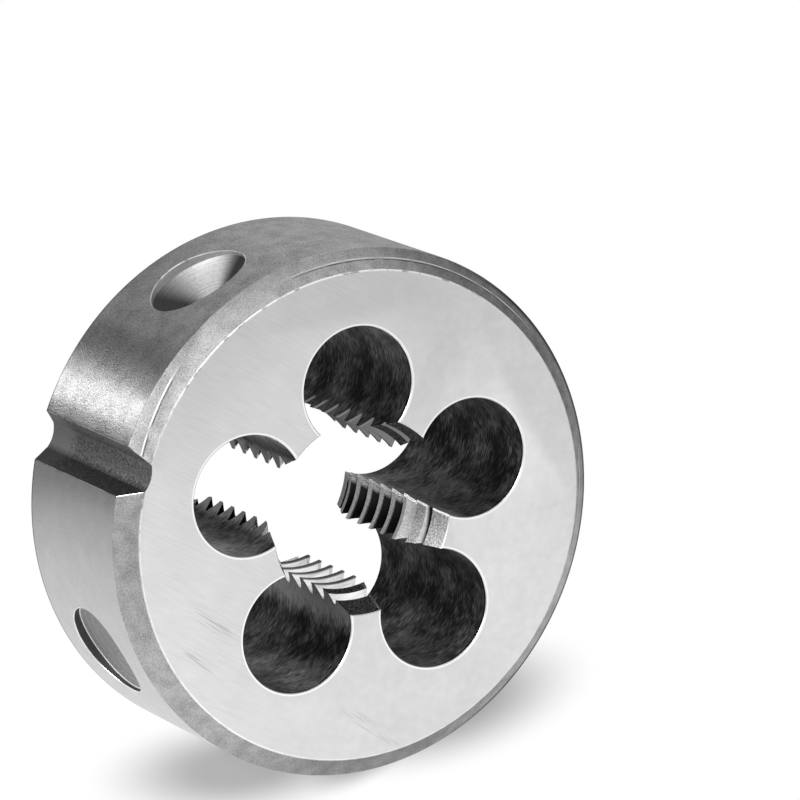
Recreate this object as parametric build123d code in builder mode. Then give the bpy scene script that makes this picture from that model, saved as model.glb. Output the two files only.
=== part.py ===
import os
from math import cos, radians, sin, tan

from build123d import *

os.makedirs("parts", exist_ok=True)

# Round threading die, one piece, all lengths in millimetres.
# The die lies on its back face at Z = 0, its axis is Z and its front face looks up.
# The adjusting slot in the rim looks along -Y.

# Disc
outer_diameter = 45.0
thickness = 18.0
edge_chamfer_height = 1.5
edge_chamfer_width = 1.7

# Thread that the die cuts, right-handed
thread_diameter = 16.0
thread_pitch = 2.0
thread_flank_angle = 60.0
thread_root_flat = 0.25
first_groove_height = 1.43

# Cutting lead at each end of the thread
lead_length = 4.0
lead_clearance = 0.4

# Chip flutes, the first in line with the slot
flute_count = 5
flute_diameter = 10.2
flute_overlap = 0.92

# Adjusting slot in the rim
slot_depth = 1.8
slot_floor_width = 2.2
slot_flank_angle = 60.0
slot_floor_bow = 0.25

# Seats of the set screws, one on each side of the slot
seat_spread = 45.7
seat_diameter = 8.6
seat_straight_depth = 0.8
seat_point_angle = 120.0

# Room by which a cutting shape runs past the surface that it opens
overrun = 1.0

# Sizes that follow from those above
outer_radius = outer_diameter / 2
face_radius = outer_radius - edge_chamfer_width
major_radius = thread_diameter / 2
minor_radius = major_radius - 0.54127 * thread_pitch
mouth_radius = major_radius + lead_clearance
flute_radius = flute_diameter / 2
flute_circle_radius = minor_radius - flute_overlap + flute_radius
slot_floor_radius = outer_radius - slot_depth
seat_radius = seat_diameter / 2
seat_point_depth = seat_radius / tan(radians(seat_point_angle / 2))

# Angles about the axis, from +X
slot_angle = -90.0
flute_step = 360 / flute_count
first_land_angle = slot_angle + flute_step / 2

# Section of one thread groove, drawn a little inside the crests so that it opens fully
groove_inner_radius = minor_radius - 0.05 * thread_pitch
groove_slope = tan(radians(thread_flank_angle / 2))
groove_root_half = thread_root_flat / 2
groove_mouth_half = groove_root_half + (major_radius - groove_inner_radius) * groove_slope

# Each land is crossed by short stretches of the one helix, wider than the land itself
groove_span = 0.78 * flute_step
groove_rise = thread_pitch * groove_span / 360
groove_places = []
for land in range(flute_count):
    land_angle = first_land_angle + land * flute_step
    groove_height = first_groove_height + thread_pitch * (land_angle / 360 - 2)
    while groove_height < thickness + thread_pitch:
        groove_places.append(Location((0, 0, groove_height), (0, 0, land_angle)))
        groove_height += thread_pitch

with BuildPart() as groove_piece:
    with BuildLine() as groove_path:
        Helix(pitch=thread_pitch, height=groove_rise, radius=minor_radius)
    with BuildSketch(Plane.XZ):
        with BuildLine():
            Polyline(
                (groove_inner_radius, -groove_mouth_half),
                (major_radius, -groove_root_half),
                (major_radius, groove_root_half),
                (groove_inner_radius, groove_mouth_half),
                close=True,
            )
        make_face()
    sweep(path=groove_path.line, is_frenet=True)
groove_centred = Location((0, 0, -groove_rise / 2), (0, 0, -groove_span / 2))

with BuildPart() as threading_die:
    # Blank: disc with chamfered edges, a bore at the thread crests and a lead cone at each end
    with BuildSketch(Plane(origin=(0, 0, 0), x_dir=(0, -1, 0), z_dir=(-1, 0, 0))):
        with BuildLine():
            Polyline(
                (minor_radius, lead_length),
                (mouth_radius, 0),
                (face_radius, 0),
                (outer_radius, edge_chamfer_height),
                (outer_radius, thickness - edge_chamfer_height),
                (face_radius, thickness),
                (mouth_radius, thickness),
                (minor_radius, thickness - lead_length),
                close=True,
            )
        make_face()
    revolve(axis=Axis.Z)

    # Chip flutes: round holes that break into the bore and leave the lands between them
    with BuildSketch(Plane.XY):
        with PolarLocations(flute_circle_radius, flute_count, start_angle=slot_angle):
            Circle(flute_radius)
    extrude(amount=thickness, mode=Mode.SUBTRACT)

    # Thread: the helical groove crosses every land, which leaves the cutting teeth
    with Locations(*groove_places):
        add(groove_piece.part.moved(groove_centred), mode=Mode.SUBTRACT)

    # Adjusting slot: flanks at an angle and a slightly bowed floor
    run_radius = outer_radius + overrun
    run_half = slot_floor_width / 2 + (slot_depth + overrun) * tan(radians(slot_flank_angle / 2))
    with BuildSketch(Plane.XY.rotated((0, 0, slot_angle))):
        with BuildLine():
            Line((slot_floor_radius, slot_floor_width / 2), (run_radius, run_half))
            Line((run_radius, run_half), (run_radius, -run_half))
            Line((run_radius, -run_half), (slot_floor_radius, -slot_floor_width / 2))
            ThreePointArc(
                (slot_floor_radius, -slot_floor_width / 2),
                (slot_floor_radius - slot_floor_bow, 0),
                (slot_floor_radius, slot_floor_width / 2),
            )
        make_face()
    extrude(amount=thickness, mode=Mode.SUBTRACT)

    # Set screw seats: short round wells with a pointed bottom, at half the thickness
    for seat_angle in (slot_angle - seat_spread, slot_angle + seat_spread):
        seat_turn = radians(seat_angle)
        outward = Vector(cos(seat_turn), sin(seat_turn), 0)
        sideways = Vector(sin(seat_turn), -cos(seat_turn), 0)
        middle = Vector(0, 0, thickness / 2)
        with BuildSketch(Plane(origin=middle, x_dir=outward, z_dir=sideways)):
            with BuildLine():
                Polyline(
                    (run_radius, 0),
                    (run_radius, seat_radius),
                    (outer_radius - seat_straight_depth, seat_radius),
                    (outer_radius - seat_straight_depth - seat_point_depth, 0),
                    close=True,
                )
            make_face()
        revolve(axis=Axis(middle, outward), mode=Mode.SUBTRACT)

threading_die.part.label = "threading_die"
export_step(threading_die.part, "parts/threading_die.step")

print("volume", round(threading_die.part.volume, 1), "mm3")
print("faces", len(threading_die.part.faces()), "solids", len(threading_die.part.solids()))
print("box", threading_die.part.bounding_box())
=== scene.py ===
# %% [markdown]
# # A round threading die
#
# A round die is a hardened steel disc that cuts an outside thread. A rod goes into the toothed bore,
# the die is turned, and the chips fall away through five round flutes. The disc is turned on a lathe,
# drilled, tapped, hardened, and then its two faces are ground flat, so each surface has its own finish.
#
# The imported model is loaded first. It fixes the place and size of the die.

# %% Load the imported model
import math

import bmesh
import bpy
from mathutils import Matrix, Vector


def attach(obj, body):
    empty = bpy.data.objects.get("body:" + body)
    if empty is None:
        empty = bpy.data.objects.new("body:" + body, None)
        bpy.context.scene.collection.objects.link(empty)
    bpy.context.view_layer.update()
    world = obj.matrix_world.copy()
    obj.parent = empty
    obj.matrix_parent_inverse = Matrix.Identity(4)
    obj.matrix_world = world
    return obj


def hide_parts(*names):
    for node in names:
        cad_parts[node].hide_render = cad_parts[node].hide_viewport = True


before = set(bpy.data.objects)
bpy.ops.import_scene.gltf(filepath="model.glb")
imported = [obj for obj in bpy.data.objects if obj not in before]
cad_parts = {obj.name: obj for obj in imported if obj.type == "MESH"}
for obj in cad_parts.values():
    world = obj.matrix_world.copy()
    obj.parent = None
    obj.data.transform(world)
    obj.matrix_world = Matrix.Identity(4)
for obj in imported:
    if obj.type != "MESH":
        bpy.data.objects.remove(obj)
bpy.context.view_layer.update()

# %% [markdown]
# ## The disc in millimetres
#
# Blender works in metres and the die is known in millimetres, so one factor turns one into the other.
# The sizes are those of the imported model: the axis is Z, the back face is at Z = 0, and the adjusting
# slot looks along -Y.

# %% The disc in millimetres
MM = 0.001
outer_radius = 22.5 * MM
thickness = 18.0 * MM
chamfer_height = 1.5 * MM
chamfer_width = 1.7 * MM
middle = Vector((0, 0, thickness / 2))
along_x = (1, 0, 0)
along_y = (0, 1, 0)
along_z = (0, 0, 1)
print("disc", round(2 * outer_radius / MM), "by", round(thickness / MM), "mm")

# %% [markdown]
# ## Colours and nodes
#
# A steel is one shader with a few patterns in front of it. Colours are written as they look on a screen,
# and one function turns them into the linear values that a shader counts with. A second one fills the
# inputs of a node, and a third one adds a node and fills it, so that each finish below reads as a list.
#
# An input that is given a node is linked to the first output that this node has in use. A Mix node has many
# inputs: 0 is the share, 2 and 3 are the numbers that it mixes, and 6 and 7 are the colours.

# %% Colours
def linear(code):
    """Turns an sRGB hex colour into linear values."""
    parts = [int(code[n:n + 2], 16) / 255 for n in (0, 2, 4)]
    return [p / 12.92 if p <= 0.04045 else ((p + 0.055) / 1.055) ** 2.4 for p in parts] + [1.0]


print("a mid grey is", round(linear("808080")[0], 3), "in linear values")

# %% Nodes
def feed(target, inputs):
    """Fills the inputs of a node: a node or a socket is linked, anything else is set as a value."""
    for key, value in inputs.items():
        if isinstance(value, bpy.types.Node):
            value = next(socket for socket in value.outputs if socket.enabled)
        if isinstance(value, bpy.types.NodeSocket):
            target.id_data.links.new(value, target.inputs[key])
        else:
            target.inputs[key].default_value = value
    return target


def node(tree, kind, inputs, **settings):
    """Adds one node with its settings and fills its inputs."""
    made = tree.nodes.new(kind)
    for key, value in settings.items():
        setattr(made, key, value)
    return feed(made, inputs)


# %% A bare steel
def steel(name, code, roughness):
    """Starts a bare steel, and hands back where each point lies on the die."""
    material = bpy.data.materials.new(name)
    material.use_nodes = True
    tree = material.node_tree
    shader = tree.nodes["Principled BSDF"]
    feed(shader, {"Base Color": linear(code), "Roughness": roughness, "Metallic": 1.0})
    return material, tree, shader, node(tree, "ShaderNodeTexCoord", {}).outputs["Object"]


# %% [markdown]
# ## Where on the die
#
# Wear and old tool marks lie in certain places of a real die, and so do the light and shade that are
# painted into some colours here, so a finish has to know where a point is. It reads Object coordinates,
# which stay with the piece. A ramp changes a value from one place to another along a direction, and a few
# ramps together make a colour darker or lighter in soft bands, which is how much of the painted light and
# shade is laid. More helpers give the distance from the axis and from the plane through the slot, and the
# angle round the axis.

# %% Ramps and bands
def ramp(tree, place, direction, start, end, low=0.0, high=1.0):
    """Adds a value that goes from low to high between two places along a direction."""
    along = node(tree, "ShaderNodeVectorMath", {0: place, 1: direction}, operation="DOT_PRODUCT")
    return node(
        tree, "ShaderNodeMapRange",
        {"Value": along, "From Min": start, "From Max": end, "To Min": low, "To Max": high},
    )


def shade_bands(tree, place, colour, bands):
    """Multiplies a colour by a factor past soft borders. A band is a direction, start, end and factor."""
    shade = 1.0
    for direction, start, end, factor in bands:
        band = ramp(tree, place, direction, start, end, 1.0, factor)
        shade = node(tree, "ShaderNodeMath", {0: shade, 1: band}, operation="MULTIPLY")
    return node(tree, "ShaderNodeVectorMath", {0: colour, "Scale": shade}, operation="SCALE")


# %% Distances and angle
def from_axis(tree, place):
    """Adds the distance from the axis."""
    flat = node(tree, "ShaderNodeVectorMath", {0: place, 1: (1, 1, 0)}, operation="MULTIPLY")
    return node(tree, "ShaderNodeVectorMath", {0: flat}, operation="LENGTH")


def from_slot_plane(tree, place):
    """Adds the distance from the upright plane through the axis and the slot."""
    across = node(tree, "ShaderNodeVectorMath", {0: place, 1: along_x}, operation="DOT_PRODUCT")
    return node(tree, "ShaderNodeMath", {0: across}, operation="ABSOLUTE")


def round_axis(tree, place):
    """Adds the angle round the axis, from -pi to pi with 0 at +X."""
    split = node(tree, "ShaderNodeSeparateXYZ", {"Vector": place})
    return node(tree, "ShaderNodeMath", {0: split.outputs["Y"], 1: split.outputs["X"]}, operation="ARCTAN2")


# %% [markdown]
# ## Spots, streaks, ovals and lines
#
# Grit leaves spots, a wheel or a reamer leaves streaks. Both are noise: spots have one size, and streaks
# are the same noise stretched by a Mapping node, whose scale is the real size of one streak. A scratched
# place or a shadow is an oval, and a scored line is where a distance comes close to one value.

# %% Spots and streaks
def spots(tree, place, size, detail, low, high):
    """Adds soft spots of one size, with the noise between low and high spread over 0 to 1."""
    noise = node(tree, "ShaderNodeTexNoise", {"Vector": place, "Scale": 1 / size, "Detail": detail})
    return node(tree, "ShaderNodeMapRange", {"Value": noise, "From Min": low, "From Max": high})


def streaks(tree, place, turn, size, detail):
    """Adds stretched noise. The size of a streak is in mm along X, Y and Z, before its turn in degrees."""
    laid = node(
        tree, "ShaderNodeMapping",
        {"Vector": place, "Rotation": (0, 0, math.radians(turn)), "Scale": [part * MM for part in size]},
        vector_type="TEXTURE",
    )
    return node(tree, "ShaderNodeTexNoise", {"Vector": laid, "Scale": 1.0, "Detail": detail})


# %% Ovals and lines
def oval(tree, place, centre, height, turn, half_length, half_width):
    """Adds how far out a point is in a turned oval, 1 being its outline. centre and halves are in mm."""
    laid = node(
        tree, "ShaderNodeMapping",
        {"Vector": place, "Location": (centre[0] * MM, centre[1] * MM, height),
         "Rotation": (0, 0, math.radians(turn)), "Scale": (half_length * MM, half_width * MM, MM)},
        vector_type="TEXTURE",
    )
    return node(tree, "ShaderNodeVectorMath", {0: laid}, operation="LENGTH")


def thin_line(tree, measure, spot, gone, full):
    """Adds a soft line where a measure is near one value: full at one distance from it, gone at another."""
    offset = node(tree, "ShaderNodeMath", {0: measure, 1: spot}, operation="SUBTRACT")
    size = node(tree, "ShaderNodeMath", {0: offset}, operation="ABSOLUTE")
    return node(tree, "ShaderNodeMapRange", {"Value": size, "From Min": gone, "From Max": full})


# %% [markdown]
# ## Thread and flutes in millimetres
#
# The die cuts a thread of 16 mm with a pitch of 2 mm. The tooth crests lie 0.54127 of a pitch inside the
# full radius, as in every metric thread. Five flutes of 10.2 mm stand round the axis, the first in line
# with the slot, and each breaks 0.92 mm into the bore.

# %% Thread and flutes in millimetres
pitch = 2.0 * MM
major_radius = 8.0 * MM
minor_radius = major_radius - 0.54127 * pitch
flute_count = 5
flute_radius = 5.1 * MM
flute_overlap = 0.92 * MM
flute_circle = minor_radius - flute_overlap + flute_radius
slot_angle = math.radians(-90)
flute_step = 2 * math.pi / flute_count
flute_angles = [slot_angle + n * flute_step for n in range(flute_count)]
print("flutes at", [round(math.degrees(angle)) for angle in flute_angles], "degrees")

# %% [markdown]
# ## How far to a flute
#
# Some finishes change next to the flutes. The five flutes are alike, so the angle round the axis is folded
# into one fifth of a turn, and only the distance to the first flute is measured there. Folded so that the
# flute is in the middle, this gives the nearest one, and folded so that the flute is at the end, it gives
# the one on the cutting side of the land.

# %% How far to a flute
def gap_to_flute(tree, place, low, high):
    """Adds nodes that measure how far a point is from the wall of a flute, in metres."""
    fold = node(
        tree, "ShaderNodeMath", {0: round_axis(tree, place), 1: slot_angle + high, 2: slot_angle + low},
        operation="WRAP",
    )
    turned = node(tree, "ShaderNodeMath", {0: fold, 1: -slot_angle}, operation="ADD")
    beside_x = node(tree, "ShaderNodeMath", {0: turned}, operation="COSINE")
    beside_y = node(tree, "ShaderNodeMath", {0: turned}, operation="SINE")
    across = node(tree, "ShaderNodeCombineXYZ", {"X": beside_x, "Y": beside_y})
    radius = from_axis(tree, place)
    spot = node(tree, "ShaderNodeVectorMath", {0: across, "Scale": radius}, operation="SCALE")
    to_flute = node(tree, "ShaderNodeVectorMath", {0: spot, 1: (flute_circle, 0, 0)}, operation="DISTANCE")
    return node(tree, "ShaderNodeMath", {0: to_flute, 1: flute_radius}, operation="SUBTRACT")


# %% [markdown]
# ## Ground steel
#
# The two faces are ground flat on a wheel. The wheel leaves fine straight marks in one direction, so the
# face is a slightly cloudy mirror with faint stripes. Real marks are a few hundredths of a millimetre wide,
# too fine for the render, so they are drawn 0.18 mm wide. On the far side, towards +Y, handling has worn
# them to soft spots of 0.7 mm. Handling has also left three patches of scratches, kept within ovals and
# drawn 0.2 mm wide. A thin white line round each flute is a painted highlight of its edge. A ramp makes the
# face a little lighter towards -X and +Y, as under a lamp that stands nearer there.

# %% Ground steel: marks and scratches
ground_face, tree, shader, place = steel("ground_face_steel", "D8D8D8", 0.3)
stripes = streaks(tree, place, 76, (2.4, 0.18, 1), 1.0)
soft = node(tree, "ShaderNodeTexNoise", {"Vector": place, "Scale": 1 / (0.7 * MM), "Detail": 3.0})
handled = ramp(tree, place, along_y, -8 * MM, 4 * MM)
fine = node(tree, "ShaderNodeMix", {0: handled, 2: stripes, 3: soft}, data_type="FLOAT")
patches = 0.0
for centre, turn, half_length, half_width in (
    ((10.9, -11.2), 68, 3.6, 1.0),
    ((17.3, 5.7), 72, 4.4, 0.7),
    ((14.0, -12.6), 72, 3.6, 0.6),
):
    reach = oval(tree, place, centre, thickness, turn, half_length, half_width)
    inside = node(tree, "ShaderNodeMapRange", {"Value": reach, "From Min": 1.0, "From Max": 0.3})
    patches = node(tree, "ShaderNodeMath", {0: patches, 1: inside}, operation="MAXIMUM")
scores = streaks(tree, place, 70, (4, 0.2, 1), 1.0)
deep = node(tree, "ShaderNodeMapRange", {"Value": scores, "From Min": 0.5, "From Max": 0.64})
scratch = node(tree, "ShaderNodeMath", {0: deep, 1: patches}, operation="MULTIPLY")

# %% Ground steel: colour
clouds = node(tree, "ShaderNodeTexNoise", {"Vector": place, "Scale": 1 / (3 * MM), "Detail": 4.0})
tone = node(tree, "ShaderNodeMath", {0: fine, 1: clouds}, operation="ADD")
level = node(tree, "ShaderNodeMapRange", {"Value": tone, "From Min": 0.7, "From Max": 1.3})
plain = node(tree, "ShaderNodeMix", {0: level, 6: linear("D6D6D6"), 7: linear("E0E0E0")}, data_type="RGBA")
lit = shade_bands(tree, place, plain, [((-0.42, 0.91, 0), 7 * MM, 19.5 * MM, 1.26)])
scratched = node(tree, "ShaderNodeMix", {0: scratch, 6: lit, 7: linear("C0C0C0")}, data_type="RGBA")
# Painted highlight: the colour turns white within 0.17 to 0.25 mm of a flute's wall.
gap = gap_to_flute(tree, place, -flute_step / 2, flute_step / 2)
painted_edge_highlight = node(tree, "ShaderNodeMapRange", {"Value": gap, "From Min": 0.25 * MM, "From Max": 0.17 * MM})
colour = node(tree, "ShaderNodeMix", {0: painted_edge_highlight, 6: scratched, 7: linear("FFFFFF")}, data_type="RGBA")
relief = node(tree, "ShaderNodeBump", {"Height": fine, "Strength": 1.0, "Distance": 0.0006 * MM})
feed(shader, {"Base Color": colour, "Normal": relief})
print("ground steel: stripes 0.18 mm wide at 76 degrees")

# %% [markdown]
# ## Turned rim
#
# The rim was turned, hardened and tumbled. The lathe's rings run round it, so a lamp shows as a tall
# narrow streak: the finish is rough up and down and smooth round the rim, which is what anisotropy does.
# The tumbling left a fine grain that breaks the borders of that streak. The grain is 0.13 mm, and blotches
# of about 1.6 mm lie over it. One half of the rim, on the +X side of the slot, has been handled smooth and
# bright, so there the grain is faint. Next to the slot two bands of painted shade darken the rim beside the
# streak and trim the lamp's reflection. Just above the corner at the back the rim is darker in a thin line.

# %% Turned rim
turned_rim, tree, shader, place = steel("turned_rim_steel", "CACACA", 0.5)
grain = spots(tree, place, 0.13 * MM, 1.0, 0.3, 0.7)
blotches = spots(tree, place, 1.6 * MM, 3.0, 0.3, 0.7)
tone = node(tree, "ShaderNodeMix", {0: 0.35, 2: grain, 3: blotches}, data_type="FLOAT")
rough = node(tree, "ShaderNodeMix", {0: tone, 6: linear("7E7E7E"), 7: linear("CACACA")}, data_type="RGBA")
smooth = node(tree, "ShaderNodeMix", {0: tone, 6: linear("D0D0D0"), 7: linear("E2E2E2")}, data_type="RGBA")
calm = ramp(tree, place, along_x, -3 * MM, 4 * MM)
plain = node(tree, "ShaderNodeMix", {0: calm, 6: rough, 7: smooth}, data_type="RGBA")
back_line = ramp(tree, place, along_z, chamfer_height + 0.25 * MM, chamfer_height + 0.1 * MM)
with_back_line = node(tree, "ShaderNodeMix", {0: back_line, 6: plain, 7: linear("787878")}, data_type="RGBA")
# Painted shade: two bands darken the rim on either side of the lamp's streak.
painted_shading = shade_bands(tree, place, with_back_line, [
    ((-0.3665, -0.9304, 0), 22.28 * MM, 22.48 * MM, 0.6),
    ((-0.1045, -0.9945, 0), 22.46 * MM, 22.5 * MM, 0.65),
])
depth = node(tree, "ShaderNodeMix", {0: calm, 2: 0.012 * MM, 3: 0.003 * MM}, data_type="FLOAT")
relief = node(tree, "ShaderNodeBump", {"Height": tone, "Strength": 1.0, "Distance": depth})
feed(shader, {"Base Color": painted_shading, "Normal": relief, "Anisotropic": 1.0, "Anisotropic Rotation": 0.25})
print("turned rim: grain 0.13 mm")

# %% [markdown]
# ## Blasted chamfer
#
# The slanting edge has an even, sandy grain, and on the -X side, away from the slot, a darker skin. Beside
# the slot a band of painted shade darkens the lamp's reflection, and the side at +Y is painted lighter, as
# the face is, but its outer corner holds a dark line. The slant was cut more than once, and where two cuts
# meet runs a fine ridge, drawn as a line with a painted highlight on one side and painted shade on the
# other. Two such arcs show. One starts at the slot and shows again opposite it, and its centre lies a little
# beside the axis, so that it wanders across the slant. The other is on the dark side.

# %% Blasted chamfer: grain and skin
blasted_edge, tree, shader, place = steel("blasted_chamfer_steel", "C4C4C4", 0.42)
grain = spots(tree, place, 0.11 * MM, 1.0, 0.3, 0.7)
blotches = spots(tree, place, 1.2 * MM, 2.0, 0.3, 0.7)
tone = node(tree, "ShaderNodeMix", {0: 0.4, 2: grain, 3: blotches}, data_type="FLOAT")
clean = node(tree, "ShaderNodeMix", {0: tone, 6: linear("909090"), 7: linear("D2D2D2")}, data_type="RGBA")
dark = node(tree, "ShaderNodeMix", {0: tone, 6: linear("5C5C5C"), 7: linear("A8A8A8")}, data_type="RGBA")
skin = ramp(tree, place, (-0.8, 0.6, 0), 12.9 * MM, 19.4 * MM)
sandy = node(tree, "ShaderNodeMix", {0: skin, 6: clean, 7: dark}, data_type="RGBA")
# Painted shade beside the slot and painted light towards +Y.
painted_shading = shade_bands(tree, place, sandy, [
    ((-0.26, -0.97, 0), 20.9 * MM, 21.5 * MM, 0.68),
    ((0.09, 0.99, 0), 13.5 * MM, 19.5 * MM, 1.45),
])
corner = node(
    tree, "ShaderNodeMapRange",
    {"Value": from_axis(tree, place), "From Min": 22.05 * MM, "From Max": 22.32 * MM},
)
far_side = ramp(tree, place, (-0.26, 0.97, 0), 8 * MM, 15 * MM)
outline = node(tree, "ShaderNodeMath", {0: corner, 1: far_side}, operation="MULTIPLY")
colour = node(tree, "ShaderNodeMix", {0: outline, 6: painted_shading, 7: linear("2C2C2C")}, data_type="RGBA")

# %% Blasted chamfer: old tool arcs
across = node(tree, "ShaderNodeSeparateXYZ", {"Vector": place}).outputs["X"]
left_half = node(tree, "ShaderNodeMath", {0: across, 1: 0.0}, operation="LESS_THAN")
unworn = spots(tree, place, 1.2 * MM, 2.0, 0.74, 0.5)
for centre, arc_radius, gone, full in (
    ((-1.083 * MM, -0.191 * MM, 0), 21.31 * MM, -9.5 * MM, -8.0 * MM),
    ((0, 0, 0), 21.69 * MM, -17.5 * MM, -19.5 * MM),
):
    beside = node(tree, "ShaderNodeVectorMath", {0: place, 1: centre}, operation="SUBTRACT")
    away = from_axis(tree, beside)
    reach = ramp(tree, place, along_x, gone, full)
    shown = node(tree, "ShaderNodeMath", {0: left_half, 1: reach}, operation="MULTIPLY")
    kept = node(tree, "ShaderNodeMath", {0: shown, 1: unworn}, operation="MULTIPLY")
    # Each arc is a painted highlight, with painted shade 0.11 mm further in.
    for inwards, code in ((0.0, "F0F0F0"), (0.11 * MM, "606060")):
        near = thin_line(tree, away, arc_radius - inwards, 0.07 * MM, 0.02 * MM)
        line = node(tree, "ShaderNodeMath", {0: near, 1: kept}, operation="MULTIPLY")
        colour = node(tree, "ShaderNodeMix", {0: line, 6: colour, 7: linear(code)}, data_type="RGBA")
relief = node(tree, "ShaderNodeBump", {"Height": tone, "Strength": 1.0, "Distance": 0.012 * MM})
feed(shader, {"Base Color": colour, "Normal": relief})
print("blasted chamfer: grain 0.11 mm")

# %% [markdown]
# ## Oxide in the flutes
#
# Hardening turns bare steel dark. The flutes were reamed before it and not touched after it, so they keep
# the dark skin, with short fine marks from the reamer that run round the hole, drawn 0.11 mm wide. Where
# the wall faces along X, painted light makes it lighter, and next to the teeth, where the skin is thin, it is
# lighter still. In the flute by the slot the skin is a little thinner all over instead, and at -X it is
# thick next to the teeth too. A narrow line of painted shade lies just under the front face.

# %% Oxide in the flutes: skin
flute_oxide, tree, shader, place = steel("flute_oxide_steel", "5A5A5A", 0.45)
reamed = streaks(tree, place, 0, (0.6, 0.6, 0.11), 1.0)
rough = node(tree, "ShaderNodeMapRange", {"Value": reamed, "From Min": 0.3, "From Max": 0.7})
cloudy = spots(tree, place, 2.5 * MM, 2.0, 0.3, 0.66)
tone = node(tree, "ShaderNodeMix", {0: 0.5, 2: rough, 3: cloudy}, data_type="FLOAT")
# Painted light: the wall is lighter the more its normal points along X.
normal = node(tree, "ShaderNodeTexCoord", {}).outputs["Normal"]
facing = node(tree, "ShaderNodeVectorMath", {0: normal, 1: along_x}, operation="DOT_PRODUCT")
side = node(tree, "ShaderNodeMath", {0: facing, 1: 2.0}, operation="POWER")
thin = node(tree, "ShaderNodeMath", {0: side, 1: 0.55, 2: tone}, operation="MULTIPLY_ADD")
teeth = node(
    tree, "ShaderNodeMapRange",
    {"Value": from_axis(tree, place), "From Min": 10.5 * MM, "From Max": 7.5 * MM, "To Max": 1.7},
)
not_far_left = ramp(tree, place, along_x, -6.5 * MM, -4.5 * MM)
not_by_slot = ramp(tree, place, along_y, -7.6 * MM, -6.6 * MM)
open_side = node(tree, "ShaderNodeMath", {0: not_far_left, 1: not_by_slot}, operation="MULTIPLY")
by_teeth = node(tree, "ShaderNodeMath", {0: teeth, 1: open_side}, operation="MULTIPLY")
slot_flute = ramp(tree, place, along_y, -7.5 * MM, -9.5 * MM, 0.0, 0.18)
touched = node(tree, "ShaderNodeMath", {0: by_teeth, 1: slot_flute}, operation="MAXIMUM")
bare = node(tree, "ShaderNodeMath", {0: thin, 1: touched}, operation="ADD")

# %% Oxide in the flutes: colour
bareness = node(tree, "ShaderNodeMapRange", {"Value": bare, "From Min": 0.36, "From Max": 1.6})
line = node(tree, "ShaderNodeMapRange", {"Value": rough, "To Min": 0.8, "To Max": 1.2})
lined = node(tree, "ShaderNodeMath", {0: bareness, 1: line}, operation="MULTIPLY")
level = node(tree, "ShaderNodeMath", {0: lined, 1: 1.4}, operation="POWER")
colour = node(tree, "ShaderNodeMix", {0: level, 6: linear("262626"), 7: linear("EAEAEA")}, data_type="RGBA")
# Painted shade: a narrow dark line just under the front face.
with_painted_shade_line = shade_bands(tree, place, colour, [(along_z, thickness - 0.4 * MM, thickness - 0.2 * MM, 0.25)])
relief = node(tree, "ShaderNodeBump", {"Height": reamed, "Strength": 1.0, "Distance": 0.02 * MM})
feed(shader, {"Base Color": with_painted_shade_line, "Normal": relief})
print("oxide in the flutes: marks 0.11 mm wide")

# %% [markdown]
# ## Cut thread
#
# The teeth are lapped after hardening, which leaves smooth bright flanks. On the land at +Y the front teeth
# were ground again, which leaves them satin, and the teeth further back are painted a darker grey, as shade.
# Painted shade also darkens the middle of their grooves and the last groove before the face, and the crests
# of the land at +X are painted dark, as a painted reflection of the dark floor in the bore. Towards -X the
# teeth are a duller grey. The land at +Y is known by its small distance from the slot's plane, which takes
# in a narrow strip of the two lands by the slot as well.
#
# The cutting edge of a land is honed, except towards -X: a narrow slope that leans towards the flute and the
# front catches the light as a fine white line. It is too narrow to be a face, so it is made with a bump, and
# a small function turns the normal towards the front. Lapping marks are drawn 0.12 mm wide, and the grit on
# the satin teeth 0.14 mm.

# %% Lean to the front
def lean_to_front(tree, normal, amount):
    """Turns a normal towards the front face by an amount."""
    upwards = node(tree, "ShaderNodeCombineXYZ", {"Z": amount})
    turned = node(tree, "ShaderNodeVectorMath", {0: normal, 1: upwards}, operation="ADD")
    return node(tree, "ShaderNodeVectorMath", {0: turned}, operation="NORMALIZE")


# %% Cut thread: zones
cut_thread, tree, shader, place = steel("cut_thread_steel", "D0D0D0", 0.24)
gap = gap_to_flute(tree, place, -flute_step, 0.0)
radius = from_axis(tree, place)
aside = from_slot_plane(tree, place)
far_land = node(tree, "ShaderNodeMapRange", {"Value": aside, "From Min": 4.5 * MM, "From Max": 3.5 * MM})
front = ramp(tree, place, along_z, 12.4 * MM, 13.0 * MM)
ground = node(tree, "ShaderNodeMath", {0: far_land, 1: front}, operation="MULTIPLY")
back_teeth_painted_shade = node(tree, "ShaderNodeMath", {0: far_land, 1: ground}, operation="SUBTRACT")
dull = ramp(tree, place, along_x, -3.5 * MM, -5 * MM)
edge = node(tree, "ShaderNodeMapRange", {"Value": gap, "From Min": 0.27 * MM, "From Max": 0.22 * MM})
hone_side = ramp(tree, place, along_x, -2.7 * MM, -2.3 * MM)
honed = node(tree, "ShaderNodeMath", {0: edge, 1: hone_side}, operation="MULTIPLY")

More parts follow.
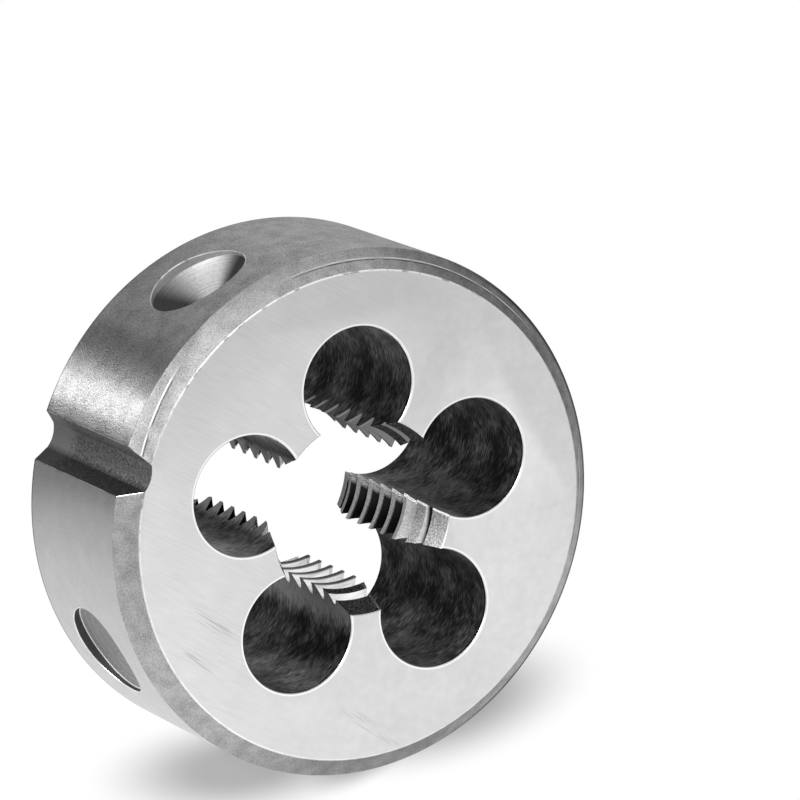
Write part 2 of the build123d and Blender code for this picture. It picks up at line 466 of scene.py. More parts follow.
# %% Cut thread: painted shade
inner = node(tree, "ShaderNodeMapRange", {"Value": gap, "From Min": 0.45 * MM, "From Max": 0.75 * MM})
flank = node(tree, "ShaderNodeMapRange", {"Value": radius, "From Min": 6.95 * MM, "From Max": 7.05 * MM})
groove_part = node(tree, "ShaderNodeMath", {0: back_teeth_painted_shade, 1: flank}, operation="MULTIPLY")
painted_groove_shade = node(tree, "ShaderNodeMath", {0: groove_part, 1: inner}, operation="MULTIPLY")
crest = node(tree, "ShaderNodeMapRange", {"Value": radius, "From Min": 7.05 * MM, "From Max": 6.95 * MM})
near_land = ramp(tree, place, along_x, 5.2 * MM, 5.6 * MM, 0.0, 0.85)
painted_dark_crests = node(tree, "ShaderNodeMath", {0: crest, 1: near_land}, operation="MULTIPLY")
last_groove = ramp(tree, place, along_z, 15.62 * MM, 15.74 * MM)
painted_end_shadow = node(tree, "ShaderNodeMath", {0: last_groove, 1: far_land}, operation="MULTIPLY")
painted_crest_and_end_shade = node(tree, "ShaderNodeMath", {0: painted_dark_crests, 1: painted_end_shadow}, operation="MAXIMUM")
dark = node(tree, "ShaderNodeMath", {0: painted_groove_shade, 1: painted_crest_and_end_shade}, operation="MAXIMUM")

# %% Cut thread: colour
lapping = streaks(tree, place, 0, (2, 2, 0.12), 2.0)
grit = node(tree, "ShaderNodeTexNoise", {"Vector": place, "Scale": 1 / (0.14 * MM), "Detail": 2.0})
pattern = node(tree, "ShaderNodeMix", {0: ground, 2: lapping, 3: grit}, data_type="FLOAT")
level = node(tree, "ShaderNodeMapRange", {"Value": pattern, "From Min": 0.35, "From Max": 0.65})
bright = node(tree, "ShaderNodeMix", {0: level, 6: linear("CCCCCC"), 7: linear("F4F4F4")}, data_type="RGBA")
specks = node(tree, "ShaderNodeMapRange", {"Value": grit, "From Min": 0.36, "From Max": 0.64})
grey = node(tree, "ShaderNodeMix", {0: specks, 6: linear("989898"), 7: linear("C8C8C8")}, data_type="RGBA")
# Painted shade: the back teeth of the land at +Y are grey instead of bright.
lapped = node(tree, "ShaderNodeMix", {0: back_teeth_painted_shade, 6: bright, 7: grey}, data_type="RGBA")
dulled = node(tree, "ShaderNodeMix", {0: dull, 6: lapped, 7: linear("7C7C7C")}, data_type="RGBA")
with_hone = node(tree, "ShaderNodeMix", {0: honed, 6: dulled, 7: linear("FFFFFF")}, data_type="RGBA")
# The painted shade is laid on last, as a near black.
colour = node(tree, "ShaderNodeMix", {0: dark, 6: with_hone, 7: linear("2C2C2C")}, data_type="RGBA")

# %% Cut thread: relief
satin = node(tree, "ShaderNodeMath", {0: ground, 1: honed}, operation="MAXIMUM")
roughness = node(tree, "ShaderNodeMix", {0: satin, 2: 0.24, 3: 0.5}, data_type="FLOAT")
depth = node(tree, "ShaderNodeMix", {0: ground, 2: 0.003 * MM, 3: 0.03 * MM}, data_type="FLOAT")
relief = node(tree, "ShaderNodeBump", {"Height": pattern, "Strength": 1.0, "Distance": depth})
hone_slope = node(tree, "ShaderNodeMapRange", {"Value": gap, "From Max": 0.25 * MM, "To Max": 0.06 * MM})
sloped = node(
    tree, "ShaderNodeBump", {"Height": hone_slope, "Strength": 1.0, "Distance": 1.0, "Normal": relief}
)
steepness = node(tree, "ShaderNodeMix", {0: front, 2: 1.4, 3: 0.85}, data_type="FLOAT")
rise = node(tree, "ShaderNodeMath", {0: honed, 1: steepness}, operation="MULTIPLY")
feed(shader, {"Base Color": colour, "Roughness": roughness, "Normal": lean_to_front(tree, sloped, rise)})
print("cut thread: lapped teeth, honed cutting edges")

# %% [markdown]
# ## Lead cone
#
# At both faces the bore widens to a cone, so that the rod enters and the first teeth cut a little at a
# time. It is ground on the land at +Y, and a gritty satin there, with a honed white line along the flute.
# On the other lands, but for a strip of the two by the slot, the cone is painted nearly black, as shade, with
# grey specks of the grit, drawn 0.15 mm wide.

# %% Lead cone
lead_cone, tree, shader, place = steel("lead_cone_steel", "C8C8C8", 0.5)
grit = node(tree, "ShaderNodeTexNoise", {"Vector": place, "Scale": 1 / (0.15 * MM), "Detail": 2.0})
level = node(tree, "ShaderNodeMapRange", {"Value": grit, "From Min": 0.36, "From Max": 0.64})
satin = node(tree, "ShaderNodeMix", {0: level, 6: linear("B8B8B8"), 7: linear("FFFFFF")}, data_type="RGBA")
skin = node(tree, "ShaderNodeMix", {0: level, 6: linear("282828"), 7: linear("909090")}, data_type="RGBA")
gap = gap_to_flute(tree, place, -flute_step, 0.0)
honed = node(tree, "ShaderNodeMapRange", {"Value": gap, "From Min": 0.2 * MM, "From Max": 0.16 * MM})
bright = node(tree, "ShaderNodeMix", {0: honed, 6: satin, 7: linear("FFFFFF")}, data_type="RGBA")
# Painted shade: the cone is dark on the lands away from the slot's plane.
aside = from_slot_plane(tree, place)
painted_shade_lands = node(tree, "ShaderNodeMapRange", {"Value": aside, "From Min": 3.8 * MM, "From Max": 4.6 * MM})
colour = node(tree, "ShaderNodeMix", {0: painted_shade_lands, 6: bright, 7: skin}, data_type="RGBA")
relief = node(tree, "ShaderNodeBump", {"Height": grit, "Strength": 1.0, "Distance": 0.04 * MM})
rise = node(tree, "ShaderNodeMath", {0: honed, 1: 0.5}, operation="MULTIPLY")
feed(shader, {"Base Color": colour, "Normal": lean_to_front(tree, relief, rise)})
print("lead cone: grit 0.15 mm")

# %% [markdown]
# ## Scale in the slot
#
# The slot was milled before hardening and keeps a coarse, dull scale, a little lighter than the oxide in
# the flutes and lighter still at the back end, where it is rubbed. The flank on the +X side is darker. Its
# grain is 0.22 mm.

# %% Scale in the slot
slot_scale, tree, shader, place = steel("slot_scale_steel", "747474", 0.55)
grain = node(tree, "ShaderNodeTexNoise", {"Vector": place, "Scale": 1 / (0.22 * MM), "Detail": 2.0})
scale = node(tree, "ShaderNodeMapRange", {"Value": grain, "From Min": 0.3, "From Max": 0.7})
rubbed = ramp(tree, place, along_z, 5 * MM, 2.5 * MM, 0.0, 0.7)
level = node(tree, "ShaderNodeMath", {0: scale, 1: rubbed}, operation="ADD")
clean = node(tree, "ShaderNodeMix", {0: level, 6: linear("606060"), 7: linear("AAAAAA")}, data_type="RGBA")
darker_flank_steel = node(tree, "ShaderNodeMix", {0: level, 6: linear("303030"), 7: linear("6A6A6A")}, data_type="RGBA")
plus_x_flank = ramp(tree, place, along_x, 0.6 * MM, 1.2 * MM)
colour = node(tree, "ShaderNodeMix", {0: plus_x_flank, 6: clean, 7: darker_flank_steel}, data_type="RGBA")
relief = node(tree, "ShaderNodeBump", {"Height": grain, "Strength": 1.0, "Distance": 0.02 * MM})
feed(shader, {"Base Color": colour, "Normal": relief})
print("scale in the slot: grain 0.22 mm")

# %% [markdown]
# ## Drilled seats
#
# A drill leaves rings round its own axis. Both seats mirror each other across the slot's plane, so taking X
# as always positive lays one over the other, and one axis serves both. A ring is then a place of one
# distance from that axis, and the rings are drawn 0.14 mm wide. A cone with such rings shows a lamp as a fan
# that widens from its point. Most of that comes from the light, and the colour helps: in the seat at -X it
# is bright within the fan and dark outside it. In the other seat the wall kept its dark skin, and a painted
# highlight marks the step between wall and cone.

# %% Drilled seats: where
seat_spread = 45.7
seat_radius = 4.3 * MM
seat_wall = 0.8 * MM
seat_point = seat_radius / math.tan(math.radians(60))
wall_start = outer_radius - seat_wall
seat_turn = slot_angle + math.radians(seat_spread)
seat_axis = (math.cos(seat_turn), math.sin(seat_turn), 0)
seat_side = (math.sin(seat_turn), -math.cos(seat_turn), 0)
drilled_seat, tree, shader, place = steel("drilled_seat_steel", "C8C8C8", 0.48)
centred = node(tree, "ShaderNodeVectorMath", {0: place, 1: middle}, operation="SUBTRACT")
split = node(tree, "ShaderNodeSeparateXYZ", {"Vector": centred})
second = node(tree, "ShaderNodeMath", {0: split.outputs["X"], 1: 0.0}, operation="GREATER_THAN")
laid = node(
    tree, "ShaderNodeCombineXYZ",
    {"X": from_slot_plane(tree, centred), "Y": split.outputs["Y"], "Z": split.outputs["Z"]},
)
moment = node(tree, "ShaderNodeVectorMath", {0: laid, 1: seat_axis}, operation="CROSS_PRODUCT")
ring = node(tree, "ShaderNodeVectorMath", {0: moment}, operation="LENGTH")
depth = node(tree, "ShaderNodeVectorMath", {0: laid, 1: seat_axis}, operation="DOT_PRODUCT")
wall = node(
    tree, "ShaderNodeMapRange", {"Value": depth, "From Min": wall_start, "From Max": wall_start + 0.08 * MM}
)

# %% Drilled seats: fan of light
sideways = node(tree, "ShaderNodeVectorMath", {0: laid, 1: seat_side}, operation="DOT_PRODUCT")
turn = node(tree, "ShaderNodeMath", {0: sideways, 1: split.outputs["Z"]}, operation="ARCTAN2")
full_turn = node(tree, "ShaderNodeMath", {0: turn, 1: 2 * math.pi, 2: 0.0}, operation="WRAP")
fan = 1.0
for outside, inside in ((132, 214), (274, 234)):
    border = node(
        tree, "ShaderNodeMapRange",
        {"Value": full_turn, "From Min": math.radians(outside), "From Max": math.radians(inside)},
        interpolation_type="SMOOTHSTEP",
    )
    fan = node(tree, "ShaderNodeMath", {0: fan, 1: border}, operation="MULTIPLY")

# %% Drilled seats: finish
rings = node(
    tree, "ShaderNodeTexNoise", {"W": ring, "Scale": 1 / (0.14 * MM), "Detail": 1.0}, noise_dimensions="1D"
)
cloud = node(tree, "ShaderNodeTexNoise", {"Vector": place, "Scale": 1 / (0.25 * MM), "Detail": 2.0})
tone = node(tree, "ShaderNodeMath", {0: rings, 1: cloud}, operation="ADD")
level = node(tree, "ShaderNodeMapRange", {"Value": tone, "From Min": 0.7, "From Max": 1.3})
fanned = node(tree, "ShaderNodeMix", {0: fan, 6: linear("4A4A4A"), 7: linear("FFFFFF")}, data_type="RGBA")
cone = node(tree, "ShaderNodeMix", {0: second, 6: fanned, 7: linear("A2A2A2")}, data_type="RGBA")
well = node(tree, "ShaderNodeMix", {0: second, 6: linear("B8B8B8"), 7: linear("606060")}, data_type="RGBA")
drilled = node(tree, "ShaderNodeMix", {0: wall, 6: cone, 7: well}, data_type="RGBA")
shade = node(tree, "ShaderNodeMix", {0: level, 2: 0.84, 3: 1.1}, data_type="FLOAT")
ringed = node(tree, "ShaderNodeVectorMath", {0: drilled, "Scale": shade}, operation="SCALE")
# Painted highlight: a white line at the step between wall and cone in the second seat.
step_line = thin_line(tree, depth, wall_start, 0.06 * MM, 0.02 * MM)
painted_step_highlight = node(tree, "ShaderNodeMath", {0: step_line, 1: second}, operation="MULTIPLY")
colour = node(tree, "ShaderNodeMix", {0: painted_step_highlight, 6: ringed, 7: linear("FFFFFF")}, data_type="RGBA")
roughness = node(tree, "ShaderNodeMix", {0: fan, 2: 0.48, 3: 0.58}, data_type="FLOAT")
relief = node(tree, "ShaderNodeBump", {"Height": rings, "Strength": 1.0, "Distance": 0.02 * MM})
feed(shader, {"Base Color": colour, "Roughness": roughness, "Normal": relief})
print("drilled seats: rings 0.14 mm")

# %% [markdown]
# ## Worn edges
#
# Every edge of a tool like this is broken by a tenth of a millimetre, and handling keeps it bright. On the
# side towards -X and -Y the bright line is worn in places only, so there it fades in and out every
# millimetre or so.

# %% Worn edges
bright_edge, tree, shader, place = steel("worn_edge_steel", "F4F4F4", 0.35)
wear = spots(tree, place, 1.0 * MM, 3.0, 0.38, 0.5)
patchy = ramp(tree, place, (-0.707, -0.707, 0), 8 * MM, 14 * MM)
faded = node(tree, "ShaderNodeMix", {0: patchy, 6: linear("ECECEC"), 7: linear("B4B4B4")}, data_type="RGBA")
colour = node(tree, "ShaderNodeMix", {0: wear, 6: faded, 7: linear("FCFCFC")}, data_type="RGBA")
feed(shader, {"Base Color": colour})
print("worn edges: patches of about 1 mm")

# %% [markdown]
# ## The blank
#
# Lathes start from a round bar, and so does this model. A cylinder of 360 sides is the rim, and at each end
# an extruded and narrowed ring makes the slanting edge. A few small functions come first: they select by
# place or direction instead of by hand, they make an upright bar, and they widen or narrow its ends.
#
# The faces get their finish by the Z of their normal: it is nearly 0 on the rim, nearly 1 on the two flat
# faces, and between the two on the slanting edge.

# %% Selecting
def deselect():
    """Leaves nothing selected."""
    bpy.ops.object.select_all(action="DESELECT")


def only(piece):
    """Selects one piece and makes it the active one."""
    deselect()
    piece.select_set(True)
    bpy.context.view_layer.objects.active = piece


def edit(piece, kind):
    """Opens one piece in edit mode with nothing selected. kind is VERT, EDGE or FACE."""
    only(piece)
    bpy.ops.object.mode_set(mode="EDIT")
    bpy.ops.mesh.select_mode(type=kind)
    bpy.ops.mesh.select_all(action="DESELECT")


def close_edit():
    """Goes back to object mode."""
    bpy.ops.object.mode_set(mode="OBJECT")


def pick(piece, part, test):
    """Selects the faces or edges of the open mesh that pass a test, and counts them."""
    mesh = bmesh.from_edit_mesh(piece.data)
    found = 0
    for item in getattr(mesh, part):
        item.select_set(bool(test(item)))
        found += item.select
    bmesh.update_edit_mesh(piece.data)
    return found


def apply_place(piece):
    """Moves the place, turn and scale of a piece into its mesh."""
    only(piece)
    bpy.ops.object.transform_apply(location=True, rotation=True, scale=True)


# %% Bars with tapered ends
def round_bar(name, sides, radius, length, place, turn=0.0):
    """Adds an upright round bar."""
    deselect()
    bpy.ops.mesh.primitive_cylinder_add(
        vertices=sides, radius=radius, depth=length, location=place, rotation=(0, 0, turn)
    )
    bar = bpy.context.object
    bar.name = name
    apply_place(bar)
    return bar


def taper_end(bar, side, height, factor):
    """Extrudes one end of an upright bar by height and scales the new end."""
    edit(bar, "FACE")
    pick(bar, "faces", lambda face: face.normal.z * side > 0.9)
    bpy.ops.mesh.extrude_region_move(TRANSFORM_OT_translate={"value": (0, 0, side * height)})
    bpy.ops.transform.resize(value=(factor, factor, 1), center_override=middle)
    close_edit()


# %% [markdown]
# A chamfer on a real part has no sharp edges. Every edge between two finishes gets a narrow bevel, and the
# new faces take the finish of what the wear has left there.

# %% Rounded edges
def round_edges(piece, first, second, width, finish):
    """Bevels every edge between two finishes and gives the narrow new faces a third one."""
    slots = [piece.data.materials.find(m.name) for m in (first, second, finish)]
    edit(piece, "EDGE")
    pair = {slots[0], slots[1]}
    count = pick(piece, "edges", lambda edge: {f.material_index for f in edge.link_faces} == pair)
    bpy.ops.mesh.bevel(
        offset=width, segments=2, profile=0.5, affect="EDGES", clamp_overlap=False, material=slots[2]
    )
    close_edit()
    print("rounded", count, "edges between", first.name, "and", second.name)


# %% The blank
rim_sides = 360
outer_break = 0.06 * MM
face_break = 0.09 * MM
die = round_bar("threading_die_body", rim_sides, outer_radius, thickness - 2 * chamfer_height, middle)
for side in (1, -1):
    taper_end(die, side, chamfer_height, (outer_radius - chamfer_width) / outer_radius)
for finish in (turned_rim, blasted_edge, ground_face, bright_edge):
    die.data.materials.append(finish)
for face in die.data.polygons:
    upward = abs(face.normal.z)
    face.material_index = 0 if upward < 0.1 else 2 if upward > 0.95 else 1
round_edges(die, turned_rim, blasted_edge, outer_break, blasted_edge)
round_edges(die, blasted_edge, ground_face, face_break, bright_edge)
print("blank with", len(die.data.polygons), "faces")

# %% [markdown]
# ## Bore and flutes
#
# Each hole is cut with a solid of its own shape. The edges at the faces could be bevelled afterwards, but
# where five flutes and the bore meet, a bevel tears. A real countersink breaks the edge while it cuts, and
# the cutting solids do the same: both ends flare out by 45 degrees, and the flare has the worn finish. The
# Z of the normal tells the faces apart here too: 0.7 on a flare, 0.35 on the lead cone and 0 on a wall.

# %% Cutting
def subtract(body, tool):
    """Takes the tool's shape out of the body, as a cutter does, and removes the tool."""
    only(body)
    cut = body.modifiers.new("cut", "BOOLEAN")
    cut.operation = "DIFFERENCE"
    cut.solver = "EXACT"
    cut.material_mode = "TRANSFER"
    cut.object = tool
    bpy.ops.object.modifier_apply(modifier="cut")
    bpy.data.objects.remove(tool)


def paint(piece, material):
    """Gives a piece one finish all over."""
    piece.data.materials.clear()
    piece.data.materials.append(material)


# %% Flared ends
hole_break = 0.07 * MM
flare_overrun = 0.5 * MM
flare = hole_break + flare_overrun


def flare_ends(bar, radius, finish):
    """Widens both ends of a cutting bar and paints the flares apart from the wall."""
    for side in (1, -1):
        taper_end(bar, side, flare, (radius + flare) / radius)
    paint(bar, finish)
    bar.data.materials.append(bright_edge)
    for face in bar.data.polygons:
        face.material_index = 1 if 0.5 < abs(face.normal.z) < 0.9 else 0


# %% Bore
lead_length = 4.0 * MM
mouth_radius = 8.4 * MM
bore_sides = 128
bore = round_bar(
    "bore", bore_sides, minor_radius, thickness - 2 * lead_length, middle, math.pi / bore_sides
)
cone_length = lead_length - hole_break
cone_radius = minor_radius + (mouth_radius - minor_radius) * cone_length / lead_length
for side in (1, -1):
    taper_end(bore, side, cone_length, cone_radius / minor_radius)
flare_ends(bore, cone_radius, cut_thread)
bore.data.materials.append(lead_cone)
for face in bore.data.polygons:
    if 0.1 < abs(face.normal.z) < 0.5:
        face.material_index = 2
subtract(die, bore)
print("bore", round(2 * minor_radius / MM, 2), "mm wide,", round(2 * mouth_radius / MM, 1), "at the faces")

# %% Flutes
hole_sides = 96
for angle in flute_angles:
    flute = round_bar(
        "flute", hole_sides, flute_radius, thickness - 2 * hole_break, middle, angle + math.pi / hole_sides
    )
    flare_ends(flute, flute_radius, flute_oxide)
    flute.location = Vector((math.cos(angle), math.sin(angle), 0)) * flute_circle
    apply_place(flute)
    subtract(die, flute)
print(flute_count, "flutes")

# %% [markdown]
# ## Adjusting slot
#
# A pointed screw in the die stock presses into this slot and spreads the die a little. Its two flanks lean
# at 60 degrees to each other and its floor is slightly bowed. A plane gets the outline: two corners outside
# the rim, two on the floor, and the edge between the latter is divided so that it can be bowed. Extruded
# upwards, it is the milling cutter that takes the slot out.

# %% Adjusting slot
slot_depth = 1.8 * MM
slot_floor = 2.2 * MM
slot_bow = 0.25 * MM
bow_cuts = 9
slot_lean = math.radians(30)
slot_break = 0.06 * MM
overrun = 1.0 * MM
deselect()
bpy.ops.mesh.primitive_plane_add(size=1, location=(0, 0, 0))
slot = bpy.context.object
slot_run = outer_radius + overrun
slot_half = slot_floor / 2
slot_run_half = slot_half + (slot_depth + overrun) * math.tan(slot_lean)
for corner in slot.data.vertices:
    outside = corner.co.y < 0
    half = slot_run_half if outside else slot_half
    reach = -slot_run if outside else slot_depth - outer_radius
    corner.co = (math.copysign(half, corner.co.x), reach, -overrun)
edit(slot, "EDGE")
pick(slot, "edges", lambda edge: all(v.co.y > -outer_radius for v in edge.verts))
bpy.ops.mesh.subdivide(number_cuts=bow_cuts)
close_edit()
for corner in slot.data.vertices:
    if corner.co.y > -outer_radius:
        corner.co.y += slot_bow * (1 - (corner.co.x / slot_half) ** 2)
edit(slot, "FACE")
bpy.ops.mesh.select_all(action="SELECT")
bpy.ops.mesh.extrude_region_move(TRANSFORM_OT_translate={"value": (0, 0, thickness + 2 * overrun)})
bpy.ops.mesh.select_all(action="SELECT")
bpy.ops.mesh.normals_make_consistent(inside=False)
close_edit()
paint(slot, slot_scale)
subtract(die, slot)
round_edges(die, slot_scale, turned_rim, slot_break, bright_edge)
round_edges(die, slot_scale, blasted_edge, slot_break, bright_edge)

# %% [markdown]
# ## Screw seats
#
# Two more screws hold the die in its stock, one on each side of the slot. Each needs a seat in the rim at
# half the thickness: a short round well with a bottom that comes to a point at 120 degrees, as a drill
# leaves it. The drill is a bar whose end face is extruded and merged into one point. It is turned outwards
# and set so deep that 0.8 mm of straight wall stays.

# %% Screw seats
seat_break = 0.08 * MM
for side in (-1, 1):
    angle = slot_angle + side * math.radians(seat_spread)
    outward = Vector((math.cos(angle), math.sin(angle), 0))
    drill = round_bar("drill", hole_sides, seat_radius, 2 * overrun, (0, 0, 0))
    edit(drill, "FACE")
    pick(drill, "faces", lambda face: face.normal.z < -0.9)
    bpy.ops.mesh.extrude_region_move(TRANSFORM_OT_translate={"value": (0, 0, -seat_point)})
    bpy.ops.mesh.merge(type="CENTER")
    close_edit()
    drill.rotation_mode = "QUATERNION"
    drill.rotation_quaternion = outward.to_track_quat("Z", "Y")
    drill.location = middle + outward * (outer_radius - seat_wall + overrun)
    apply_place(drill)
    paint(drill, drilled_seat)
    subtract(die, drill)
round_edges(die, drilled_seat, turned_rim, seat_break, bright_edge)

# %% [markdown]
# ## Thread
#
# A thread is one groove that climbs by its pitch at each turn. Its section is drawn once, narrow at the
# bottom and wide at the mouth with flanks at 60 degrees, and a screw modifier turns it round the axis
# eleven times. It starts and ends outside the disc, so that the groove runs right through, and the two
# open ends are closed to make it a solid. What the cut leaves on the five lands are the teeth.

# %% Thread
root_half = 0.125 * MM
first_groove = 1.43 * MM
flank_lean = math.radians(30)
groove_turns = 11
deselect()
bpy.ops.mesh.primitive_plane_add(size=1, location=(0, 0, 0))
groove = bpy.context.object
groove_mouth = minor_radius - 0.1 * pitch
mouth_half = root_half + (major_radius - groove_mouth) * math.tan(flank_lean)
for corner in groove.data.vertices:
    outside = corner.co.x > 0
    half = root_half if outside else mouth_half
    corner.co = (major_radius if outside else groove_mouth, 0, math.copysign(half, corner.co.y))
screw = groove.modifiers.new("screw", "SCREW")
screw.axis = "Z"
screw.screw_offset = pitch
screw.iterations = groove_turns
screw.steps = bore_sides
screw.render_steps = bore_sides
only(groove)
bpy.ops.object.modifier_apply(modifier="screw")
edit(groove, "EDGE")
bpy.ops.mesh.select_non_manifold()
bpy.ops.mesh.fill_holes(sides=0)
bpy.ops.mesh.select_all(action="SELECT")
bpy.ops.mesh.normals_make_consistent(inside=False)
close_edit()
groove.location.z = first_groove - 2 * pitch
apply_place(groove)
paint(groove, cut_thread)
subtract(die, groove)
print("die", len(die.data.vertices), "corners", len(die.data.polygons), "faces")

# %% [markdown]
# ## Clean and smooth
#
# Cuts leave corners that nearly coincide. They are merged, and then the shading is made smooth across every
# edge that turns by less than 12 degrees, which keeps the teeth and rims sharp.

# %% Clean and smooth
merge_gap = 0.006 * MM
smooth_angle = math.radians(12)
edit(die, "VERT")
bpy.ops.mesh.select_all(action="SELECT")
bpy.ops.mesh.remove_doubles(threshold=merge_gap)
close_edit()
bpy.ops.object.shade_smooth_by_angle(angle=smooth_angle)
print("merged to", len(die.data.vertices), "corners")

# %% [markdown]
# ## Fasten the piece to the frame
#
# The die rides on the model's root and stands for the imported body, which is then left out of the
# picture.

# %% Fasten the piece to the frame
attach(die, "root")
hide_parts("threading_die")
print("the piece stands for threading_die")

# %% [markdown]
# ## Floor
#
# The die lies on plain paper. The camera sees the paper as pure white, because it gives off white light of
# strength 1 to camera rays. Near the die it keeps its own grey shading instead, in three soft ovals, and
# that is where the shadow shows. Two faces in one plane flicker, so the paper lies a hundredth of a
# millimetre lower than the die, and its underside is clear, so that the back of the die can be looked at
# from below.
#
# The steel mirrors the paper too, and there its brightness changes with the direction round the die, as it
# would between lamps and dark things that stand about. A colour ramp holds one share for each direction.
# Little light gets under the die: the share is 0.6 at the middle of the bore and 0.2 from 6 mm outwards.

# %% Floor: paper and shadow
floor_width = 4.0
floor_gap = 0.01 * MM
deselect()
bpy.ops.mesh.primitive_plane_add(size=floor_width, location=(0, 0, -floor_gap))
floor = bpy.context.object
floor.name = "floor"
paper = bpy.data.materials.new("white_paper")
paper.use_nodes = True
floor.data.materials.append(paper)
tree = paper.node_tree
shader = tree.nodes["Principled BSDF"]
feed(shader, {"Base Color": linear("A8A8A8"), "Roughness": 0.9, "Specular IOR Level": 0.0})
place = node(tree, "ShaderNodeTexCoord", {}).outputs["Object"]
seen = 1.0
for centre, turn, half_length, half_width, strength in (
    ((17.5, 23.5), 110, 17.0, 6.6, 0.86),
    ((25.6, 5.0), 102, 15.5, 5.3, 0.78),
    ((22.5, 17.0), 125, 7.0, 3.4, 0.8),
):
    reach = oval(tree, place, centre, 0, turn, half_length, half_width)
    patch = node(
        tree, "ShaderNodeMapRange",
        {"Value": reach, "From Min": 0.2, "From Max": 1.0, "To Min": 1 - strength, "To Max": 1.0},
        interpolation_type="SMOOTHSTEP",
    )
    seen = node(tree, "ShaderNodeMath", {0: seen, 1: patch}, operation="MULTIPLY")

# %% Floor: as the steel mirrors it
turn_share = node(
    tree, "ShaderNodeMapRange", {"Value": round_axis(tree, place), "From Min": -math.pi, "From Max": math.pi}
)
pool = node(tree, "ShaderNodeValToRGB", {"Fac": turn_share})
stops = pool.color_ramp.elements
while len(stops) > 1:
    stops.remove(stops[-1])
stops[0].position = 0.0
stops[0].color = (1, 1, 1, 1)
for degrees, share in (
    (-166, 0.97), (-152, 0.8), (-146, 0.62), (-140, 0.42), (-130, 0.05), (-110.5, 0.05), (-105, 1.0),
    (-100, 1.0), (-94, 0.2), (-81, 0.15), (-76, 0.35), (-71, 0.7), (-62, 0.9), (-55, 1.0), (0, 1.0),
    (30, 0.6), (60, 0.5), (150, 0.9), (180, 1.0),
):
    stop = stops.new((degrees + 180) / 360)
    stop.color = (share, share, share, 1)
centre_gap = node(tree, "ShaderNodeVectorMath", {0: place}, operation="LENGTH")
outside = node(tree, "ShaderNodeMath", {0: centre_gap, 1: outer_radius}, operation="GREATER_THAN")
bore_share = node(
    tree, "ShaderNodeMapRange",
    {"Value": centre_gap, "From Min": 6 * MM, "From Max": 4 * MM, "To Min": 0.2, "To Max": 0.6},
)
mirrored = node(tree, "ShaderNodeMix", {0: outside, 2: bore_share, 3: pool}, data_type="FLOAT")

# %% Floor: shaders
paths = node(tree, "ShaderNodeLightPath", {})
to_camera = paths.outputs["Is Camera Ray"]
glossy = node(
    tree, "ShaderNodeMath", {0: paths.outputs["Is Glossy Ray"], 1: paths.outputs["Is Transmission Ray"]},
    operation="MAXIMUM",
)
unshaded = node(tree, "ShaderNodeMath", {0: to_camera, 1: seen}, operation="MULTIPLY")
glow_share = node(tree, "ShaderNodeMath", {0: unshaded, 1: glossy}, operation="MAXIMUM")
white = node(tree, "ShaderNodeMath", {0: to_camera, 1: mirrored}, operation="MAXIMUM")
glow = node(tree, "ShaderNodeEmission", {"Strength": white})
mix = node(tree, "ShaderNodeMixShader", {0: glow_share, 1: shader, 2: glow})
clear = node(tree, "ShaderNodeBsdfTransparent", {})
from_below = node(tree, "ShaderNodeNewGeometry", {}).outputs["Backfacing"]
one_sided = node(tree, "ShaderNodeMixShader", {0: from_below, 1: mix, 2: clear})
feed(tree.nodes["Material Output"], {"Surface": one_sided})
print("floor", floor_width, "m wide")

# %% [markdown]
# ## Studio light
#
# A steel shows its surroundings more than its own colour, so the lamps are placed for what each surface
# mirrors. The room itself is a soft grey, lighter above, and white to the camera. It has one dark round
# patch above the slot's side, as if something stood there between the die and the light. A lamp's level is
# how bright its face looks, 1 being white, which is easier to reason about in a mirror than watts.

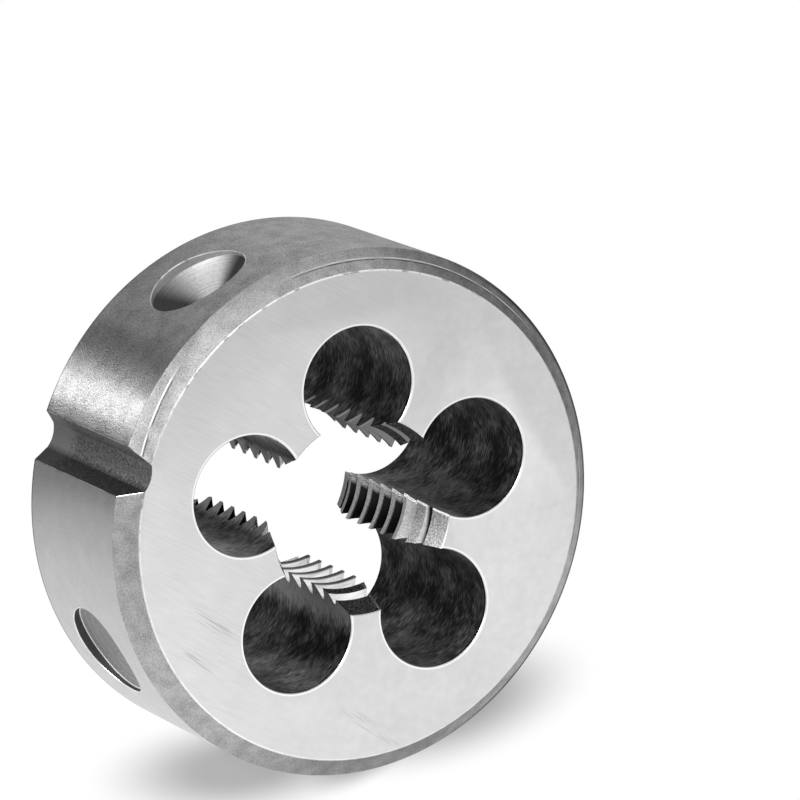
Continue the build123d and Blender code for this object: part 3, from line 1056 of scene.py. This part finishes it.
# %% Room
world = bpy.data.worlds.new("studio")
bpy.context.scene.world = world
world.use_nodes = True
tree = world.node_tree
ray = node(tree, "ShaderNodeTexCoord", {}).outputs["Generated"]
grey = ramp(tree, ray, along_z, 0.1, 0.85, 0.2, 0.72)
patch_side = (-0.0801, -0.5265, 0.8464)
patch_edge = math.cos(math.radians(18))
patch_core = math.cos(math.radians(13))
patch = ramp(tree, ray, patch_side, patch_edge, patch_core, 1.0, 0.05)
light = node(tree, "ShaderNodeMath", {0: grey, 1: patch}, operation="MULTIPLY")
to_camera = node(tree, "ShaderNodeLightPath", {}).outputs["Is Camera Ray"]
room = node(tree, "ShaderNodeMath", {0: light, 1: to_camera}, operation="MAXIMUM")
feed(tree.nodes["Background"], {"Color": (1, 1, 1, 1), "Strength": room})
print("room with a dark patch 36 degrees wide")


# %% Lamps
def softbox(name, azimuth, elevation, distance, width, height, level):
    """Adds an oval lamp that looks at the die."""
    side = math.radians(azimuth)
    rise = math.radians(elevation)
    place = Vector((math.cos(rise) * math.cos(side), math.cos(rise) * math.sin(side), math.sin(rise)))
    deselect()
    bpy.ops.object.light_add(type="AREA", location=place * distance)
    lamp = bpy.context.object
    lamp.name = name
    lamp.rotation_mode = "QUATERNION"
    lamp.rotation_quaternion = place.to_track_quat("Z", "Y")
    lamp.data.shape = "ELLIPSE"
    lamp.data.size = width
    lamp.data.size_y = height
    lamp.data.energy = level * math.pi * width * height * math.pi / 4
    print(name, "at", azimuth, "degrees round,", elevation, "up")


softbox("ceiling_softbox", 40, 47, 0.4, 0.46, 0.46, 0.42)
softbox("far_softbox", 160, 39, 0.5, 0.36, 0.32, 0.5)
softbox("near_strip", -104, 18, 0.5, 0.085, 0.36, 18.0)
softbox("left_softbox", -140, 52, 0.5, 0.3, 0.2, 2.0)
softbox("right_softbox", -15, 18, 0.5, 0.9, 0.3, 0.7)

# %% [markdown]
# ## Camera
#
# A long lens from above, turned by a quarter, as in the photograph. The three directions are those of the
# camera's own axes, and they were fitted to the outlines in the photograph.

# %% Camera
camera_data = bpy.data.cameras.new("camera")
camera_data.lens = 245.76
camera_data.sensor_width = 36
camera_data.clip_start = 0.01
camera = bpy.data.objects.new("camera", camera_data)
bpy.context.scene.collection.objects.link(camera)
right = Vector((-0.23827996, 0.83463248, 0.49659972))
up = Vector((-0.96788581, -0.16189210, -0.19232268))
back = Vector((-0.08012318, -0.52647847, 0.84640457))
stand = Vector((-46.43027, -237.56533, 401.20549)) * MM
turn = Matrix((right, up, back)).transposed().to_4x4()
camera.matrix_world = Matrix.Translation(stand) @ turn
bpy.context.scene.camera = camera
bpy.context.scene.view_settings.view_transform = "Standard"
print("camera", round(stand.length, 2), "m from the die")
